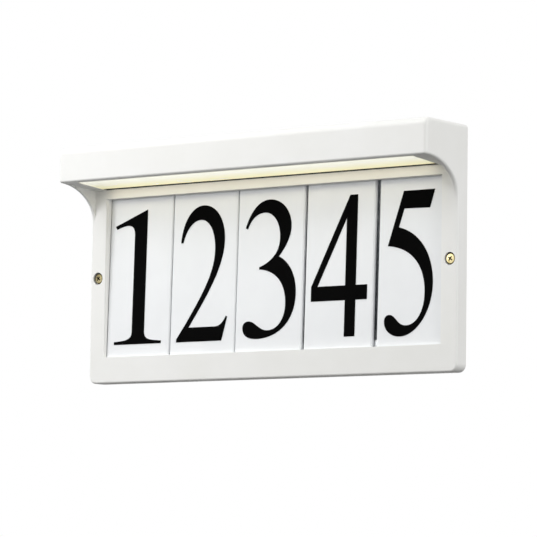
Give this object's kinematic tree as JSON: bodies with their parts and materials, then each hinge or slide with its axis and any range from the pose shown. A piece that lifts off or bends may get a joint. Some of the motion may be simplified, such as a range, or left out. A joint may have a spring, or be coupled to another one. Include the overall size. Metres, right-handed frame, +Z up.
{
  "type": "illuminated house number sign",
  "caption": "Wall-mounted house number sign: a hood with a downlight over a window of plain number tiles, held to a wall plate by two front screws.",
  "frame": {"origin": "centre of the wall plate's rear face, on the wall", "axes": "+X to the viewer's right along the sign, +Y into the wall, +Z up"},
  "size_m": [0.349, 0.054, 0.1834],
  "materials": {
    "housing_white": "satin moulded",
    "lens_opal": "opal diffuser",
    "seal_rubber": "matt",
    "reflector_white": "gloss white",
    "board_white": "solder mask",
    "led_phosphor": "phosphor",
    "zinc_steel": "zinc plated",
    "yellow_zinc": "yellow passivated",
    "foam_pad": "closed cell foam",
    "driver_case": "fine texture",
    "terminal_case": "moulded",
    "lead_jacket": "smooth",
    "washer_rubber": "matt",
    "retainer_nylon": "moulded",
    "rail_aluminium": "mill finish",
    "tile_white": "satin",
    "numeral_black": "printed"
  },
  "bodies": {
    "base": {"wall_plate": "zinc_steel", "wall_plate_seal": "seal_rubber", "clinch_nuts": "zinc_steel", "cable_grommet": "seal_rubber", "tile_rail_lower": "rail_aluminium", "tile_rail_upper": "rail_aluminium", "rail_rivets": "rail_aluminium"},
    "front": {"housing": "housing_white", "lens": "lens_opal", "lens_seal": "seal_rubber", "reflector": "reflector_white", "led_board": "board_white", "leds": "led_phosphor", "reflector_screws": "zinc_steel", "mounting_pads": "foam_pad", "led_driver": "driver_case", "terminal_block": "terminal_case", "terminal_screws": "zinc_steel", "input_lead": "lead_jacket", "board_lead": "lead_jacket", "screw_washers": "washer_rubber"},
    "screw_left": {"screw_left": "yellow_zinc", "screw_retainer_left": "retainer_nylon"},
    "screw_right": {"screw_right": "yellow_zinc", "screw_retainer_right": "retainer_nylon"},
    "number_1": {"tile_1": "tile_white", "numeral_1": "numeral_black"},
    "number_2": {"tile_2": "tile_white", "numeral_2": "numeral_black"},
    "number_3": {"tile_3": "tile_white", "numeral_3": "numeral_black"},
    "number_4": {"tile_4": "tile_white", "numeral_4": "numeral_black"},
    "number_5": {"tile_5": "tile_white", "numeral_5": "numeral_black"}
  },
  "joints": [
    {"name": "front_lift_off", "type": "slide", "parent": "base", "child": "front", "axis": [0, -1, 0], "range_m": [0, 0.08]},
    {"name": "screw_left_turn", "type": "hinge", "parent": "front", "child": "screw_left", "pos_m": [-0.1673, -0.01, -0.0083], "axis": [0, -1, 0], "continuous": true},
    {"name": "screw_right_turn", "type": "hinge", "parent": "front", "child": "screw_right", "pos_m": [0.1673, -0.01, -0.0083], "axis": [0, -1, 0], "continuous": true},
    {"name": "number_1_slide", "type": "slide", "parent": "base", "child": "number_1", "axis": [1, 0, 0], "range_m": [-0.0041, 0.0003]},
    {"name": "number_2_slide", "type": "slide", "parent": "base", "child": "number_2", "axis": [1, 0, 0], "range_m": [-0.0003, 0.0002]},
    {"name": "number_3_slide", "type": "slide", "parent": "base", "child": "number_3", "axis": [1, 0, 0], "range_m": [-0.0002, 0.00105]},
    {"name": "number_4_slide", "type": "slide", "parent": "base", "child": "number_4", "axis": [1, 0, 0], "range_m": [-0.00105, 0.00195]},
    {"name": "number_5_slide", "type": "slide", "parent": "base", "child": "number_5", "axis": [1, 0, 0], "range_m": [-0.00195, 0.0001]}
  ]
}
